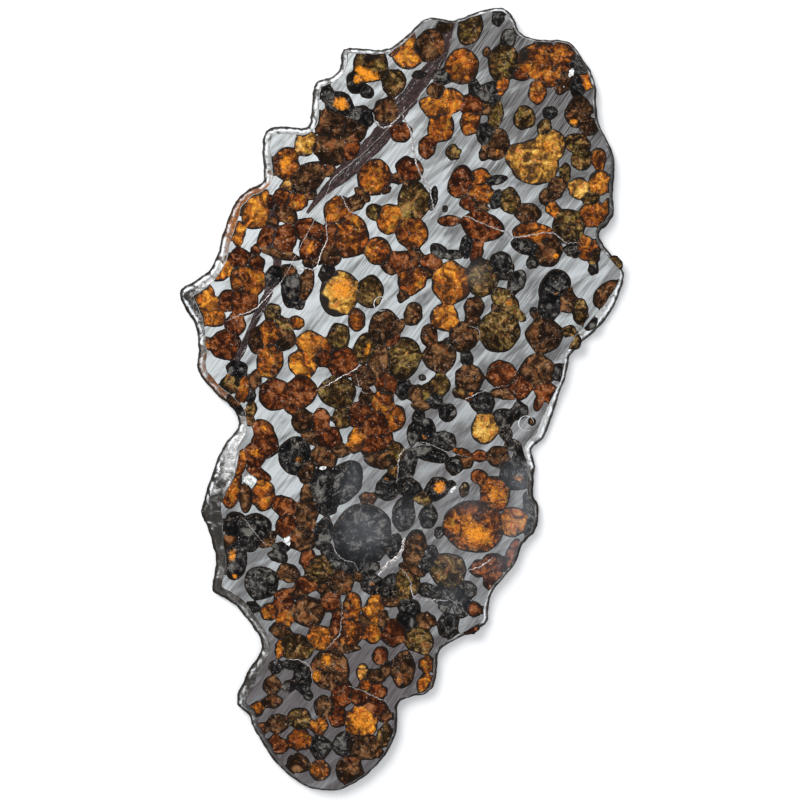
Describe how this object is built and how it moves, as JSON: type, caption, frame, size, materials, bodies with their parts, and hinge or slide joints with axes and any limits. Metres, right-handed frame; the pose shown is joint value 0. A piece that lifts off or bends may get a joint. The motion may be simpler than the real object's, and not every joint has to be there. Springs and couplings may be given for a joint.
{
  "type": "pallasite meteorite slice",
  "caption": "Thin polished slice of a stony-iron meteorite: olivine crystals set through a nickel-iron plate with a natural scalloped edge.",
  "frame": {"origin": "middle of the slice's bounding box, on the flat back face that it lies on", "axes": "+Z out of the polished face, the slice's thin way; +Y along its length towards the broad end; +X to the right seen from above"},
  "size_m": [0.0966, 0.1814, 0.0032],
  "materials": {
    "nickel_iron": "ground and polished, fine scratches one way, purple-grey tarnish patches, dark natural edge",
    "olivine_gold": "polished, greenish gold, translucent, fractured",
    "olivine_amber": "polished, bright amber, translucent, fractured",
    "olivine_orange": "polished, weathered orange, fractured",
    "olivine_red": "polished, deep red-brown, fractured",
    "olivine_brown": "polished, dark brown with orange flecks",
    "olivine_olive": "polished, dark olive with gold flecks",
    "olivine_black": "polished, nearly black, glassy"
  },
  "bodies": {
    "root": {"nickel_iron_plate": "nickel_iron", "olivine_orange_top": "olivine_orange", "olivine_olive_top": "olivine_olive", "olivine_orange_cracked": "olivine_orange", "olivine_olive_upper_left": "olivine_olive", "olivine_amber_lit": "olivine_amber", "olivine_brown_upper_left": "olivine_brown", "olivine_brown_tilted": "olivine_brown", "olivine_orange_round": "olivine_orange", "olivine_orange_crescent": "olivine_orange", "olivine_gold_large": "olivine_gold", "olivine_black_upper_right": "olivine_black", "olivine_brown_upper_right": "olivine_brown", "olivine_black_right": "olivine_black", "olivine_olive_long": "olivine_olive", "olivine_orange_centre": "olivine_orange", "olivine_orange_pair": "olivine_orange", "olivine_amber_left_edge": "olivine_amber", "olivine_orange_split": "olivine_orange", "olivine_gold_centre": "olivine_gold", "olivine_grey_crumbly": "olivine_olive", "olivine_black_long": "olivine_black", "olivine_brown_speckled": "olivine_brown", "olivine_olive_round": "olivine_olive", "olivine_amber_centre": "olivine_amber", "olivine_black_oval": "olivine_black", "olivine_red_left_pair": "olivine_red", "olivine_amber_tip": "olivine_amber", "olivine_brown_left": "olivine_brown", "olivine_brown_pair": "olivine_brown", "olivine_brown_tall": "olivine_brown", "olivine_brown_centre": "olivine_brown", "olivine_red_right": "olivine_red", "olivine_orange_right": "olivine_orange", "olivine_red_left": "olivine_red", "olivine_red_middle": "olivine_red", "olivine_amber_pair": "olivine_amber", "olivine_olive_middle": "olivine_olive", "olivine_red_dark": "olivine_red", "olivine_orange_chain": "olivine_orange", "olivine_black_left": "olivine_black", "olivine_gold_disc": "olivine_gold", "olivine_black_cluster": "olivine_black", "olivine_black_large": "olivine_black", "olivine_orange_large": "olivine_orange", "olivine_black_lower_left": "olivine_black", "olivine_amber_flecked": "olivine_olive", "olivine_black_lower": "olivine_black", "olivine_black_lower_right": "olivine_black", "olivine_olive_lower_right": "olivine_olive", "olivine_brown_lower": "olivine_brown", "olivine_olive_low_centre": "olivine_olive", "olivine_amber_cored": "olivine_amber", "olivine_black_low_right": "olivine_black", "olivine_amber_bottom": "olivine_amber", "olivine_brown_bottom": "olivine_brown"}
  },
  "joints": []
}
